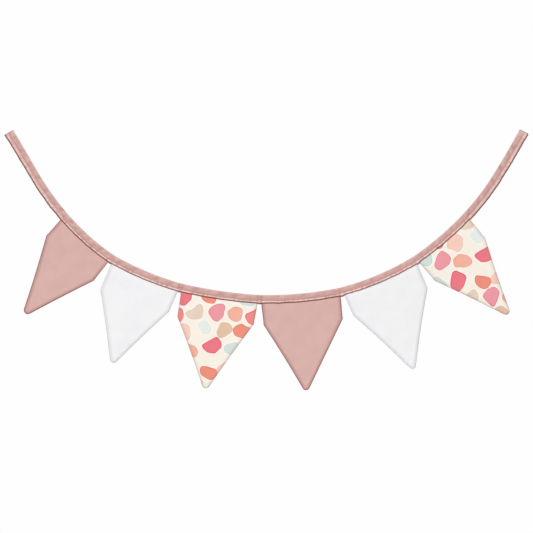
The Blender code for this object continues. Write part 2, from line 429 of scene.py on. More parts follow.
def finish_colour(tree, shader, colour, uv, weave, clouds, streaks):
    """Gives a colour the cloth's clouds and streaks, and feeds it to the shader."""
    inputs = {"Colour": colour, "Vector": uv, "Slub": weave.outputs["Slub"]}
    inputs |= {"Clouds": clouds, "Streaks": streaks}
    tone = new_node(tree, "ShaderNodeGroup", {"node_tree": tone_group}, **inputs)
    tree.links.new(tone.outputs["Colour"], shader.inputs["Base Color"])


def weave_heights(weave, slub_depth):
    """Heights of the weave and of its slubs, each with its depth in metres."""
    return [(weave.outputs["Height"], WEAVE_DEPTH), (weave.outputs["Slub"], slub_depth)]


def finish_bump(tree, shader, heights):
    """Adds up (height, depth in metres) pairs and feeds them to the shader's normal."""
    total = 0.0
    for height, depth in heights:
        total = math_node(tree, "ADD", total, math_node(tree, "MULTIPLY", height, depth))
    bump = new_node(tree, "ShaderNodeBump", Distance=1.0, Height=total)
    tree.links.new(bump.outputs[0], shader.inputs["Normal"])


# %% [markdown]
# ## The tape
# On the real bunting this is a strip of cotton with both long edges turned in, folded in half over the
# tops of the flags. Its lower edge is the part that the eye finds first: the turned hem makes a soft
# roll there, bright above and dark beneath, and the row of topstitching pulls a groove in above it. A
# bevelled strip would miss all that, so a whole cross-section is written as a table, from the hidden
# raw edge round the roll, over the groove and up to the fold, and carried along the run.

# %% The tape's cross-section
STITCH = 3.4 * MM
TAPE_STEP = STITCH / 3
# edge that each row is measured from; distance in mm over a flag and off it; how far the row stands
# proud of the wall in mm over a flag and off it; how much painted highlight; how much painted shade
PROFILE = (
    ("hem", 9.0, 8.0, -0.95, -0.90, 0.0, 1.0),
    ("hem", 3.6, 3.0, -0.93, -0.90, 0.0, 1.0),
    ("hem", 1.9, 0.6, -0.90, -0.88, 0.0, 1.0),
    ("hem", 1.0, -0.3, -0.62, -0.65, 0.0, 1.0),
    ("hem", 1.1, -0.2, -0.10, -0.15, 0.0, 1.0),
    ("hem", 1.6, 0.3, 0.35, 0.40, 0.0, 1.0),
    ("hem", 2.5, 1.5, 0.75, 0.90, 0.0, 1.0),
    ("hem", 3.3, 2.6, 1.00, 1.28, 0.30, 0.35),
    ("hem", 4.4, 4.3, 0.95, 1.38, 0.9, 0.0),
    ("hem", 5.3, 6.1, 0.62, 1.15, 1.0, 0.0),
    ("hem", 6.1, 7.8, 0.10, 0.60, 0.6, 0.0),
    ("hem", 6.8, 9.2, -0.30, 0.02, 0.1, 0.14),
    ("hem", 7.4, 10.0, -0.38, -0.22, 0.0, 0.20),
    ("hem", 8.4, 11.0, -0.08, -0.06, 0.0, 0.08),
    ("hem", 10.5, 12.6, 0.10, 0.10, 0.1, 0.0),
    ("fold", 6.2, 6.0, 0.12, 0.10, 0.1, 0.0),
    ("fold", 3.0, 2.7, 0.00, 0.00, 0.25, 0.0),
)
GROOVE_ROW = 12
PROFILE_STEPS = 2
print("rows of the section, from the raw edge to the fold:", len(PROFILE))

# %% [markdown]
# The hem was sewn by eye, so its edge wanders, and it was taken up a little more over some flags than
# over others. At a flag's side it drops to its free depth within a few millimetres. Both ends of the
# tape are turned in and sewn across, and their lower corners are worn round.

# %% The hem and the two ends
HEM_WANDER = 0.3 * MM
HEM_WAVES = ((0.8, 48 * MM, 3), (0.45, 14 * MM, 4))  # strength, wavelength, seed
# how far the hem was taken up over each flag
HEM_LIFT = {"flag_1": -0.5 * MM, "flag_3": 0.2 * MM, "flag_4": 0.3 * MM, "flag_5": 0.9 * MM,
            "flag_6": 1.2 * MM}
HEM_STEP = 2.6 * MM  # at a flag's side the hem drops to its free depth within this length
HEM_STEP_START = 1.4 * MM  # and it starts to drop this far inside the flag's side
END_STATIONS = (0.0, 0.08, 0.22, 0.45, 0.75)  # mm from the end
END_ROUND = 0.9 * MM
END_KEPT = 0.12  # share of its thickness that is left at the very end
END_HEM = 5.4 * MM  # the end is turned in by this much and sewn across
END_HEM_PROUD = 0.3 * MM
END_HEM_STEP = 1.5 * MM  # the turned end thins out within this length
END_HEM_STEP_START = 1.0 * MM
CORNER_ROUND = {"left": 1.2 * MM, "right": 3.8 * MM}  # how far each end's lower corner is worn round


def over(distance_beyond):
    """1 over a section, falling to 0 at its ends: a smooth step of the distance beyond it."""
    return 1.0 - smooth((distance_beyond + HEM_STEP_START) / HEM_STEP)


def over_flag(s):
    """1 over a flag, falling to 0 at its side, for the shape of the hem."""
    return over(beyond_flags(s))


def over_named(s, amounts):
    """Each named section's own amount over that section, falling to 0 at its ends."""
    return sum(amount * over(beyond(s, name)) for name, amount in amounts.items())


def hem_at(s):
    """Depth of the sewn hem: the tape's width, less its wander and what was taken up over some flags."""
    return width_at(s) - HEM_WANDER * layered(s, 0, HEM_WAVES) - over_named(s, HEM_LIFT)


def tape_stations():
    """Distances along the fold: three to each stitch, and close together where the ends round off."""
    close = np.array(END_STATIONS) * MM
    even = np.arange(TAPE_STEP, tape_length - TAPE_STEP / 2, TAPE_STEP)
    return np.concatenate([close, even, tape_length - close[::-1]])


def wall_out(s):
    """From the tape's middle plane to the outside of its wall, wider over a flag and over an end hem."""
    end_hem = END_HEM_PROUD * (1 - smooth((to_end(s) - END_HEM + END_HEM_STEP_START) / END_HEM_STEP))
    return AIR / 2 + CLOTH + held_open(s) * (CLOTH + AIR) + end_hem


def end_closing(s):
    """1 along the tape, falling to nearly 0 at its two ends as a quarter round."""
    share = np.clip(to_end(s) / END_ROUND, 0.0, 1.0)
    return END_KEPT + (1 - END_KEPT) * np.sqrt(1 - (1 - share) ** 2)


def corner_cut(s):
    """How far the hem draws back towards the fold near an end, as a circle through the corner would."""
    cut = np.zeros_like(s)
    for from_end, radius in ((s, CORNER_ROUND["left"]), (tape_length - s, CORNER_ROUND["right"])):
        inwards = radius - np.clip(from_end, 0.0, radius)
        cut = cut + radius - np.sqrt(radius**2 - inwards**2)
    return cut


# %% [markdown]
# Now the table can be read at every distance along the fold. The back carries the same rows, mirrored,
# with its roll pressed flatter and none at the ends, which lie on the wall. Three more rows take the
# cloth round the fold.

# %% The section at every distance
FOLD_TURNS = (45, 90, 135)
FOLD_HIGHLIGHT = 0.35  # the pressed fold itself gets a little painted highlight
BACK_ROLL = 0.45  # the roll on the back is pressed flatter
BACK_ROLL_RUN = 40 * MM


def profile_rows(s, side):
    """(depth, out, painted highlight, painted shade) for every row of the table at every s, from the raw
    edge to the fold.
    """
    opened = over_flag(s)
    even = np.ones_like(s)
    roll = even if side < 0 else BACK_ROLL * smooth((to_end(s) - END_TAB) / BACK_ROLL_RUN)
    rows = []
    for edge, flag_distance, free_distance, flag_proud, free_proud, painted_highlight, painted_shade in PROFILE:
        distance = (free_distance + (flag_distance - free_distance) * opened) * MM
        depth = distance if edge == "fold" else hem_at(s) - distance
        proud = (free_proud + (flag_proud - free_proud) * opened) * MM
        proud = np.where(proud > 0, proud * roll, proud)
        rows.append(np.stack([depth, wall_out(s) + proud, painted_highlight * even, painted_shade * even], axis=-1))
    return rows


def tape_rows(s):
    """The whole section: front wall, the round of the fold, back wall. Out is + towards the front."""
    fold = []
    for turn in np.radians(FOLD_TURNS):
        out = wall_out(s)
        around = [out * (1 - math.sin(turn)), out * math.cos(turn), np.full_like(s, FOLD_HIGHLIGHT), 0 * s]
        fold.append(np.stack(around, axis=-1))
    mirrored = [row * np.array([1.0, -1.0, 1.0, 1.0]) for row in profile_rows(s, 1)[::-1]]
    return np.array(profile_rows(s, -1) + fold + mirrored)


# %% [markdown]
# The section alone would look like a plastic moulding. What makes it cloth is how the surface moves
# between the stitches: a dimple at each needle hole, small puckers along the roll, drag lines that
# lean across the wall, and two creases at each gap where the tape steps off one flag and on to the
# next. These are added square to the wall, as functions of the distance along and the depth.

# %% Puckers, drag lines and creases of the tape
DIMPLE = 0.22 * MM
ROLL_PUCKER = 0.34 * MM
DRAG = 0.42 * MM
DRAG_LEAN = 0.8  # how far a drag line moves along for each step down
DRAG_START = 8.4 * MM  # drag lines start this far above the hem's edge
DRAG_FADE = 2.5 * MM
CREASE = 0.8 * MM
CREASE_WIDTH = 1.3 * MM
CREASE_LEAN = 0.16
CREASE_LEAN_MORE = 0.4  # the right crease of every second gap leans more by this share
CREASE_PIVOT = 10 * MM  # depth at which a crease lies just at the end of its gap
CREASE_START = 2 * MM  # creases grow from this far above the hem's edge
CREASE_FADE = 4 * MM
# how sharp the creases at the left and right end of each gap are
CREASES = {"gap_1": (0.7, 0.2), "gap_2": (0.9, 0.8), "gap_3": (1.0, 0.9), "gap_4": (0.8, 0.3),
           "gap_5": (0.15, 0.1)}
# strength, wavelength, own part of the seed
DRAG_WAVES = ((1.0, 21 * MM, 11), (0.4, 9.5 * MM, 21))
PUCKER_WAVES = ((0.7, 8.5 * MM, 31), (0.4, 24 * MM, 33))
PUCKER_SQUEEZE = 0.3  # puckers are longer down the roll than along it
PUCKER_STITCH = 0.25
ROLL_FROM = 1.0 * MM  # the roll's puckers lie between these distances above the hem's edge
ROLL_TO = 6.5 * MM
ROLL_FADE = 2 * MM
NEEDLE = 0.8 * MM  # how far round its hole the needle dimples the cloth
HIDDEN_SHARE = 0.8  # cloth that lies less far out than this share of the wall is turned in and plain


def crease_depth(s, depth):
    """Narrow troughs across the tape at both ends of every gap, leaning a little different ways."""
    total = np.zeros(np.broadcast(s, depth).shape)
    for k, name in enumerate(gap_names):
        leans = (CREASE_LEAN, -CREASE_LEAN * (1 + CREASE_LEAN_MORE * (k % 2)))
        for end, lean, sharp in zip(section(name), leans, CREASES[name]):
            off = s - end - lean * (depth - CREASE_PIVOT)
            total = total + sharp * np.exp(-((off / CREASE_WIDTH) ** 2))
    return total


def drag_lines(s, depth, side):
    """Soft ridges that lean across the wall, in two lengths, faded out at the fold and below the groove."""
    wall = smooth((hem_at(s) - depth - DRAG_START) / DRAG_FADE) * smooth(depth / DRAG_FADE)
    return wall * layered(s - DRAG_LEAN * side * depth, depth, DRAG_WAVES, side)


def roll_puckers(s, depth, side):
    """Small bulges of the rolled hem between its stitches, uneven from one to the next."""
    from_hem = hem_at(s) - depth
    on_roll = smooth((from_hem - ROLL_FROM) / ROLL_FADE) * (1 - smooth((from_hem - ROLL_TO) / ROLL_FADE))
    uneven = layered(s, depth, PUCKER_WAVES, side, PUCKER_SQUEEZE)
    return on_roll * (uneven - PUCKER_STITCH * np.cos(2 * math.pi * s / STITCH))


def tape_relief(s, depth, out, side):
    """How far the cloth stands out of the plain section: drag lines + puckers - needle holes - creases."""
    held, free = PROFILE[GROOVE_ROW][1:3]
    from_groove = hem_at(s) - depth - (free + (held - free) * over_flag(s)) * MM
    needle = np.exp(-((from_groove / NEEDLE) ** 2)) * (0.5 + 0.5 * np.cos(2 * math.pi * s / STITCH))
    relief = DRAG * drag_lines(s, depth, side) + ROLL_PUCKER * roll_puckers(s, depth, side)
    relief = relief - DIMPLE * needle
    shown = smooth((hem_at(s) - depth - CREASE_START) / CREASE_FADE)
    relief = relief - CREASE * crease_depth(s, depth) * shown
    return np.where(np.abs(out) < wall_out(s) * HIDDEN_SHARE, 0.0, relief)


# %% [markdown]
# The same puckers, drag lines and creases say where light and shade are painted on: what stands out
# gets a painted highlight, and what lies deep gets painted shade. Two masks carry this to the finish.
# White cloth throws light up under the hem, so less shade is painted there. Over the first flag the hem
# stands proud and shades itself, so more shade is painted there.

# %% The tape's painted highlight and shade, and its surface
# how much more or less highlight is painted on the roll there than elsewhere
ROLL_HIGHLIGHT_BY_SECTION = {"flag_1": 0.35, "flag_2": 0.25, "gap_2": -0.5, "gap_5": 0.5}
HEM_LIT = {"flag_1": -0.6, "flag_2": 0.25, "flag_5": 0.25}
END_TURNED = (0.9 * MM, 1.2 * MM)  # painted shade on the very end reaches up to here, and fades within this length
END_PALE = (11 * MM, 5 * MM)  # behind it the cloth is painted paler up to here, and fades
END_PALENESS = (0.4, 0.75)  # left, right
END_DRAWN_IN = 0.25 * MM
# painted highlight on the roll, its puckers and the drag lines: how strong it is and how far it may go
ROLL_HIGHLIGHT = 0.8
PUCKER_HIGHLIGHT = 0.7
PUCKER_HIGHLIGHT_OVER_FLAG = 0.25  # more than on a free run
HIGHLIGHT_OVER_FLAG = 0.35
MOST_ROLL_HIGHLIGHT = 1.5
MOST_HIGHLIGHT = 1.4
DRAG_HIGHLIGHT = 0.18
# painted shade in drag hollows, in creases and at the very ends
DRAG_SHADE = 0.15
CREASE_SHADE = 0.38
END_SHADE = 0.50


def near_end(s, reach, run):
    """1 up to the reach from either end of the tape, falling to 0 within the run."""
    return 1 - smooth((to_end(s) - reach) / run)


def tape_painted_light(s, depth, side, painted_highlight, painted_shade):
    """The table's painted highlight and shade, times the roll's highlight, plus what drag lines, creases
    and ends add.
    """
    drag = drag_lines(s, depth, side)
    opened = over_flag(s)
    turned = near_end(s, *END_TURNED)
    end_pale = (1 - turned) * near_end(s, *END_PALE) * np.where(s < tape_length / 2, *END_PALENESS)
    strength = PUCKER_HIGHLIGHT + PUCKER_HIGHLIGHT_OVER_FLAG * opened
    roll_lit = np.clip(ROLL_HIGHLIGHT + strength * roll_puckers(s, depth, side), 0, MOST_ROLL_HIGHLIGHT)
    roll_lit = roll_lit * (1 + HIGHLIGHT_OVER_FLAG * opened + over_named(s, ROLL_HIGHLIGHT_BY_SECTION))
    painted_highlight = painted_highlight * (1 - turned) * (1 - end_pale) * roll_lit + DRAG_HIGHLIGHT * np.clip(drag, 0, 2) + end_pale
    creased = np.clip(crease_depth(s, depth), 0, 1)
    painted_shade = painted_shade * (1 - over_named(s, HEM_LIT)) + DRAG_SHADE * np.clip(-drag, 0, 2)
    painted_shade = painted_shade + CREASE_SHADE * creased + END_SHADE * turned
    return np.clip(painted_highlight, 0, MOST_HIGHLIGHT), np.clip(painted_shade, 0, 1)


def tape_surface():
    """Grid of points of the tape, its cloth coordinates and its masks."""
    s = tape_stations()
    curve = smooth_through(tape_rows(s), PROFILE_STEPS)
    depth, out, painted_highlight, painted_shade = np.moveaxis(curve, -1, 0)
    side = np.where(np.arange(len(curve)) < len(curve) / 2, -1, 1)[:, None]
    relief = np.where(side < 0, tape_relief(s, depth, out, -1), tape_relief(s, depth, out, 1))
    front, back = tape_painted_light(s, depth, -1, painted_highlight, painted_shade), tape_painted_light(s, depth, 1, painted_highlight, painted_shade)
    painted_highlight, painted_shade = (np.where(side < 0, *pair) for pair in zip(front, back))
    closing = end_closing(s)
    out = (out - side * relief * np.clip(np.abs(out) / wall_out(s), 0, 1)) * closing
    depth = depth + (1 - closing) * END_DRAWN_IN * np.where(depth < width_at(s) / 2, 1, -1)
    depth = depth - corner_cut(s) * smooth(2 * depth / width_at(s) - 1)
    place = place_at(np.broadcast_to(s, depth.shape), depth)
    points = np.stack([place[..., 0], middle_at(s) - out, place[..., 1]], axis=-1)
    steps = np.hypot(np.diff(depth, axis=0), np.diff(out, axis=0))
    across = np.concatenate([np.zeros((1, len(s))), np.cumsum(steps, axis=0)])
    cloth_uv = np.stack([np.broadcast_to(s, depth.shape), across], axis=-1)
    return points, cloth_uv, {"painted_highlight": painted_highlight, "painted_shade": painted_shade}


# %% [markdown]
# The tape's cloth is a dusty rose. A painted highlight goes towards a pale rose and painted shade
# towards a dark brown red, each as far as the two masks say.

# %% The tape's finish and its piece
TAPE_COLOUR = (0.612, 0.350, 0.315)
# the pale rose of the painted highlight, then the dark brown red of the painted shade
TAPE_HIGHLIGHT = (0.830, 0.640, 0.600)
TAPE_SHADE = (0.215, 0.035, 0.022)


def make_tape_finish():
    """Rose, blended towards a painted highlight and then towards painted shade by the tape's two masks."""
    material, tree, shader, uv, weave = start_finish("tape_cotton", roughness=0.78, sheen=0.25)
    colour = TAPE_COLOUR
    for mask, strength, towards in (("painted_highlight", 0.75, TAPE_HIGHLIGHT), ("painted_shade", 0.92, TAPE_SHADE)):
        share = math_node(tree, "MULTIPLY", mask_socket(tree, mask), strength)
        colour = blend(tree, share, colour, towards)
    finish_colour(tree, shader, colour, uv, weave, clouds=0.20, streaks=0.06)
    finish_bump(tree, shader, weave_heights(weave, slub_depth=0.03 * MM))
    return material


tape_finish = make_tape_finish()
tape_points, tape_uv, tape_masks = tape_surface()
tape = add_grid("binding_tape", tape_points, tape_uv, tape_masks, tape_finish, False)
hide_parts("tape")
strip_width = tape_uv[-1, tape_uv.shape[1] // 2, 1]
print("tape:", tape_points.shape[:2], "strip as cut", round(float(strip_width) * 1000, 1), "mm wide")

# %% [markdown]
# The topstitching is real thread here, because close to the cloth each stitch is a small raised bar
# with a dimple at either end. One stitch is a bent tube of a few faces, and numpy sets all of them
# along the groove at once, front and back, with five more across each end hem.

# %% Topstitching
THREAD = 0.24 * MM  # radius of the sewing thread
STITCH_GAP = 0.7 * MM
STITCH_SIDES = 6
STITCH_RINGS = 5
STITCH_ARCH = 0.22 * MM
STITCH_TIP = 0.45  # how thin a stitch is where it goes into the cloth
STITCH_SUNK = 0.5  # share of its radius that the thread lies in the cloth
STITCH_LIFT = 0.12 * MM
END_STITCHES = 5
END_STITCH_START = 3.0 * MM  # the first stitch across an end starts this far below the fold
END_STITCH_LIFT = 0.1 * MM


def stitch_tubes(starts, finishes, outwards):
    """Bent tubes from start to finish: an arch outwards, thin at both ends. All arrays are (n, 3)."""
    t = np.linspace(0, 1, STITCH_RINGS)[None, :, None]
    axis = finishes - starts
    axis = axis / np.linalg.norm(axis, axis=1, keepdims=True)
    aside = np.cross(axis, outwards)
    line = starts[:, None] + (finishes - starts)[:, None] * t
    line = line + outwards[:, None] * (STITCH_ARCH * np.sin(math.pi * t) - STITCH_SUNK * THREAD)
    radius = THREAD * (STITCH_TIP + (1 - STITCH_TIP) * np.sin(math.pi * t))
    turn = np.linspace(0, 2 * math.pi, STITCH_SIDES, endpoint=False)
    ring = aside[:, None] * np.cos(turn)[None, :, None] + outwards[:, None] * np.sin(turn)[None, :, None]
    return line[:, :, None] + radius[:, :, None] * ring[:, None]


def tube_faces(count):
    """Four-sided faces round each tube, then a fan over each end."""
    index = np.arange(count * STITCH_RINGS * STITCH_SIDES).reshape(count, STITCH_RINGS, STITCH_SIDES)
    turned = np.roll(index, -1, axis=2)
    sides = np.stack([index[:, :-1], index[:, 1:], turned[:, 1:], turned[:, :-1]], axis=-1).reshape(-1, 4)
    caps = []
    for ring, order in ((index[:, 0], (0, 1, 2, 3)), (index[:, -1], (3, 2, 1, 0))):
        caps += [ring[:, [0, 1, 2, 3]][:, order], ring[:, [0, 3, 4, 5]][:, order]]
    return np.concatenate([sides] + caps)


def on_tape(s, row, side):
    """Points of the finished tape at a row of the table, by looking along its own grid."""
    line = row * PROFILE_STEPS if side < 0 else len(tape_points) - 1 - row * PROFILE_STEPS
    stations = tape_stations()
    return np.stack([np.interp(s, stations, tape_points[line, :, k]) for k in range(3)], axis=-1)


def topstitch_tubes():
    """The stitches along the groove and across both end hems, on the front and on the back."""
    tubes = []
    bar = STITCH - STITCH_GAP
    starts = np.arange(END_HEM + STITCH / 2, tape_length - END_HEM - STITCH, STITCH) + STITCH_GAP / 2
    for side in (-1, 1):
        outwards = np.tile([0.0, float(side), 0.0], (len(starts), 1))
        lift = outwards * STITCH_LIFT
        first, last = (on_tape(starts + step, GROOVE_ROW, side) + lift for step in (0.0, bar))
        tubes.append(stitch_tubes(first, last, outwards))
    for s in (END_HEM, tape_length - END_HEM):
        depths = END_STITCH_START + np.arange(END_STITCHES) * STITCH
        for side in (-1, 1):
            outwards = np.tile([0.0, float(side), 0.0], (END_STITCHES, 1))
            y = np.full(END_STITCHES, middle_at(s) + side * (wall_out(s) + END_STITCH_LIFT))
            first, last = (place_at(np.full(END_STITCHES, s), depths + step) for step in (0.0, bar))
            first, last = (np.stack([p[:, 0], y, p[:, 1]], axis=-1) for p in (first, last))
            tubes.append(stitch_tubes(first, last, outwards))
    return np.concatenate(tubes)


THREAD_DARK = (0.62, 0.36, 0.33)
THREAD_LIGHT = (0.80, 0.55, 0.50)
TWISTS = 700.0  # bands of the twist in a metre of thread


def make_thread_finish():
    """Two tones of rose in fine waves, which are also the thread's twist."""
    material, tree, shader, uv, _ = start_finish("matching_thread", roughness=0.55, sheen=0.3)
    twist = new_node(tree, "ShaderNodeTexWave", Scale=TWISTS, Vector=uv).outputs["Fac"]
    colour = blend(tree, twist, THREAD_DARK, THREAD_LIGHT)
    tree.links.new(colour, shader.inputs["Base Color"])
    finish_bump(tree, shader, [(twist, 0.05 * MM)])
    return material


tubes = topstitch_tubes()
thread_points = tubes.reshape(-1, 3)
thread = add_mesh("topstitching", thread_points, tube_faces(len(tubes)), thread_points[:, [0, 2]], {},
                  make_thread_finish())
print("stitches:", len(tubes), "points:", len(thread_points))

# %% [markdown]
# ## The flags
# Each flag is cut as a house turned upside down: two short sides, two tapers and a rounded point. The
# thread of the seams draws each taper in a little, so it is a shallow bow and not a straight line. One
# row of numbers for each flag says where its corners lie and how it hangs.

# %% The flags' outlines
# In mm: the side seams and how far each flares out; the drop to the rounded point, how far it lies right of
# the middle, and its radius; how far each taper is drawn in by its seam; then how far the point swings out,
# how far the side edges curl, and where the ripple starts
FLAG_COLUMNS = ("name", "cloth", "left_side", "left_flare", "right_side", "right_flare",
                "drop", "shift", "point", "left_bow", "right_bow", "swing", "curl", "wave_start")
FLAGS = (
    ("flag_1", "rose", 48.3, -0.9, 52.7, 3.4, 211, 10, 9.0, 1.0, 0.7, 3.0, 2.0, 0.4),
    ("flag_2", "white", 62.8, -0.6, 49, -1, 205, 7.2, 8.2, 1.2, 1.2, 5.0, -1.6, 2.1),
    ("flag_3", "print", 54.7, 0, 46.6, -1.8, 206.3, -1.6, 8.2, 1.2, 1.0, 2.0, 2.4, 3.9),
    ("flag_4", "rose", 48, -1.5, 50, 0, 203.8, -6.0, 8.2, 1.2, 0.1, 4.5, 1.4, 5.2),
    ("flag_5", "white", 49, -0.8, 57.5, 0.2, 213.6, -10.5, 7.6, 1.6, 1.6, 2.5, -2.2, 0.9),
    ("flag_6", "print", 53, 0, 51.7, -1.2, 217.5, 1.7, 8.4, 0.8, 1.2, 5.5, 1.8, 2.8),
)
TAPER_STEPS = 8
POINT_STEPS = 13


def tangent_point(corner, centre, radius, turn):
    """Where a straight line from the corner touches the circle of the point."""
    towards = centre - corner
    distance = np.hypot(*towards)
    angle = turn * math.asin(radius / distance)
    cos, sin = math.cos(angle), math.sin(angle)
    x, z = towards / distance
    return corner + np.array([cos * x - sin * z, sin * x + cos * z]) * math.sqrt(distance**2 - radius**2)


def drawn_in(start, end, bow):
    """Points between a taper's two ends, moved inwards by the bow times a half sine."""
    t = np.linspace(0.0, 1.0, TAPER_STEPS + 1)[1:-1, None]
    way = (end - start) / np.hypot(*(end - start))
    inward = np.array([-way[1], way[0]])
    return start + (end - start) * t + inward * bow * np.sin(math.pi * t)


def outline_corners(flag):
    """The flag's own axes, its two top corners, and its lower outline as closely set points."""
    start, end = section(flag["name"])
    left, right = place_at(start, width_at(start)), place_at(end, width_at(end))
    across = (right - left) / np.hypot(*(right - left))
    down = np.array([across[1], -across[0]])
    left_corner = left + down * flag["left_side"] * MM - across * flag["left_flare"] * MM
    right_corner = right + down * flag["right_side"] * MM + across * flag["right_flare"] * MM
    radius = flag["point"] * MM
    centre = (left + right) / 2 + across * flag["shift"] * MM + down * (flag["drop"] * MM - radius)
    left_touch = tangent_point(left_corner, centre, radius, -1)
    right_touch = tangent_point(right_corner, centre, radius, 1)
    first = math.atan2(*(left_touch - centre)[::-1])
    last = math.atan2(*(right_touch - centre)[::-1])
    turns = np.linspace(first, last + (2 * math.pi if last < first else 0), POINT_STEPS)
    arc = centre + radius * np.stack([np.cos(turns), np.sin(turns)], axis=-1)
    left_taper = drawn_in(left_corner, left_touch, flag["left_bow"] * MM)
    right_taper = drawn_in(right_touch, right_corner, flag["right_bow"] * MM)
    lower = np.concatenate([[left_corner], left_taper, arc, right_taper, [right_corner]])
    return start, end, left, right, across, down, lower


# %% [markdown]
# A panel is drawn as a grid whose columns run from the tape down to the seam. The columns follow the
# outline's own length, so the seam is evenly drawn, and rows crowd together at the seam, where the
# cloth rolls over. A few more rows go up into the tape.

# %% The grid of a panel
TUCK = 14 * MM
COLUMNS = 150
SIDE_STEP = 0.5 * MM  # first step along the outline from a corner
SIDE_SHARE = 0.07  # share of the outline at each end in which the steps grow
RIM_ROWS = np.array([0, 0.35, 0.8, 1.3, 1.9, 2.7, 3.8, 5.2, 7.0, 9.2, 11.8]) * MM
BODY_ROWS = 58
TUCK_ROWS = 4
SEAM_ABOVE = 0.03  # the side seams go on this far up into the tape


def along_line(line):
    """Length from the first point of a line to each of its points."""
    return np.concatenate([[0.0], np.cumsum(np.hypot(*np.diff(line, axis=0).T))])


def graded(length, count, first_step):
    """Positions from 0 to the length whose steps grow from the first step to an even one, at both ends."""
    share = (np.arange(count) + 0.5) / count
    growth = smooth(np.minimum(share, 1 - share) / SIDE_SHARE)
    even = (length - first_step * np.sum(1 - growth)) / np.sum(growth)
    return np.concatenate([[0.0], np.cumsum(first_step * (1 - growth) + even * growth)])


def seam_distance(places, outline):
    """Least distance to the straight pieces of the outline, and how far along it the nearest place is."""
    nearest = np.full(places.shape[:-1], np.inf)
    along = np.zeros(places.shape[:-1])
    lengths = along_line(outline)
    for start, end, before in zip(outline[:-1], outline[1:], lengths):
        piece = end - start
        share = np.clip(((places - start) @ piece) / (piece @ piece), 0.0, 1.0)
        distance = np.hypot(*np.moveaxis(places - start - share[..., None] * piece, -1, 0))
        along = np.where(distance < nearest, before + share * np.hypot(*piece), along)
        nearest = np.minimum(nearest, distance)
    return nearest, along


def panel_grid(flag):
    """Flat places of a panel's points as (x, z), rows from the tucked top down to the seam."""
    start, end, left, right, across, down, lower = outline_corners(flag)
    lengths = along_line(lower)
    spots = graded(lengths[-1], COLUMNS, SIDE_STEP)
    edge = np.stack([np.interp(spots, lengths, lower[:, k]) for k in range(2)], axis=-1)
    share = (edge - edge[0]) @ across / ((edge[-1] - edge[0]) @ across)
    s = start + (end - start) * share
    hem = place_at(s, width_at(s))
    length = np.hypot(*(edge - hem).T)[:, None]
    direction = (edge - hem) / length
    tucked = [place_at(s, width_at(s) - TUCK * (1 - k / TUCK_ROWS)) for k in range(TUCK_ROWS)]
    body = [hem + direction * (length - RIM_ROWS[-1]) * k / BODY_ROWS for k in range(BODY_ROWS)]
    rim = [edge - direction * back for back in RIM_ROWS[::-1]]
    places = np.array(tucked + body + rim)
    below = np.hypot(*np.moveaxis(places - hem, -1, 0))
    below[:TUCK_ROWS] = 0.0
    sideways, drop = ((places - (left + right) / 2) @ way for way in (across, down))
    outline = np.concatenate([[left - down * SEAM_ABOVE], lower, [right - down * SEAM_ABOVE]])
    return places, s, below, sideways, drop, outline, np.hypot(*(right - left)) / 2


# %% [markdown]
# A turned-out seam has a look of its own. The cloth rolls over at the very edge, the seam allowance
# inside lifts a band about 6 mm wide and ends in a faint step, and the tension of the thread puckers
# the band. Further in, the two panels stand a little apart and hang in slow hollows. Freed from the
# tape's stitches, a panel puffs out just under the hem.

# %% How a panel rises from its seam
ROLL_RUN = 3.0 * MM
SEAM_OUT = 0.12 * MM
LOFT = 0.7 * MM
LOFT_RUN = 9 * MM
ALLOWANCE = 5.8 * MM
ALLOWANCE_WANDER = 0.5 * MM
ALLOWANCE_WAVE = 30 * MM
ALLOWANCE_PROUD = 0.38 * MM
ALLOWANCE_STEP = 1.3 * MM
SEAM_PUCKER = 0.20 * MM
PUCKER_REACH = 7 * MM
PUCKER_LENGTH = 9.5 * MM
HOLLOW = 0.42 * MM
# depth, wavelength, how far in from the seam it is whole, own part of the seed
HOLLOWS = ((HOLLOW, 52 * MM, 14 * MM, 3), (0.25 * HOLLOW, 19 * MM, 9 * MM, 4))
TOP_GATHER = 0.16 * MM
GATHER_REACH = 11 * MM
GATHER_LENGTH = 8 * MM
TOP_PUFF = 0.45 * MM
PUFF_REACH = 30 * MM


def panel_out(number, side, inside, along, below, sideways, drop):
    """Outer face over the flag's middle: roll + loft + allowance + puckers + hollows + gathers + puff."""
    share = np.clip(inside / ROLL_RUN, 0, 1)
    roll = SEAM_OUT + (AIR / 2 + CLOTH - SEAM_OUT) * np.sqrt(1 - (1 - share) ** 2)
    loft = LOFT * (1 - np.exp(-inside / LOFT_RUN)) * (1 - np.exp(-below / LOFT_RUN))
    band = ALLOWANCE + ALLOWANCE_WANDER * unevenness(along, 0, ALLOWANCE_WAVE, 40 + number)
    allowance = ALLOWANCE_PROUD * smooth(inside / (2 * MM)) * (1 - smooth((inside - band) / ALLOWANCE_STEP))
    seed = 50 + 10 * number + side
    pucker = SEAM_PUCKER * np.exp(-inside / PUCKER_REACH) * smooth(inside / (1.5 * MM))
    pucker = pucker * unevenness(along, inside, PUCKER_LENGTH, seed, 0.4)
    hollow = 0.0
    for amount, length, run, own in HOLLOWS:
        hollow = hollow + amount * unevenness(sideways, drop, length, seed + own) * smooth(inside / run)
    gather = TOP_GATHER * np.exp(-below / GATHER_REACH) * unevenness(sideways, 0, GATHER_LENGTH, seed + 5)
    puff = TOP_PUFF * smooth(below / (3 * MM)) * np.exp(-below / PUFF_REACH) * smooth(inside / (5 * MM))
    inner = (allowance + pucker + hollow) * smooth(below / (10 * MM))
    return roll + loft + inner + gather * smooth(below / (2 * MM)) + puff


# %% [markdown]
# Then the whole flag hangs. Its point swings forward, its sides curl to the front or to the back, and
# one slow ripple runs across it. All three grow from nothing at the tape, where the flag is held.

# %% How a flag hangs
WAVE = 1.1 * MM
WAVE_LENGTH = 105 * MM


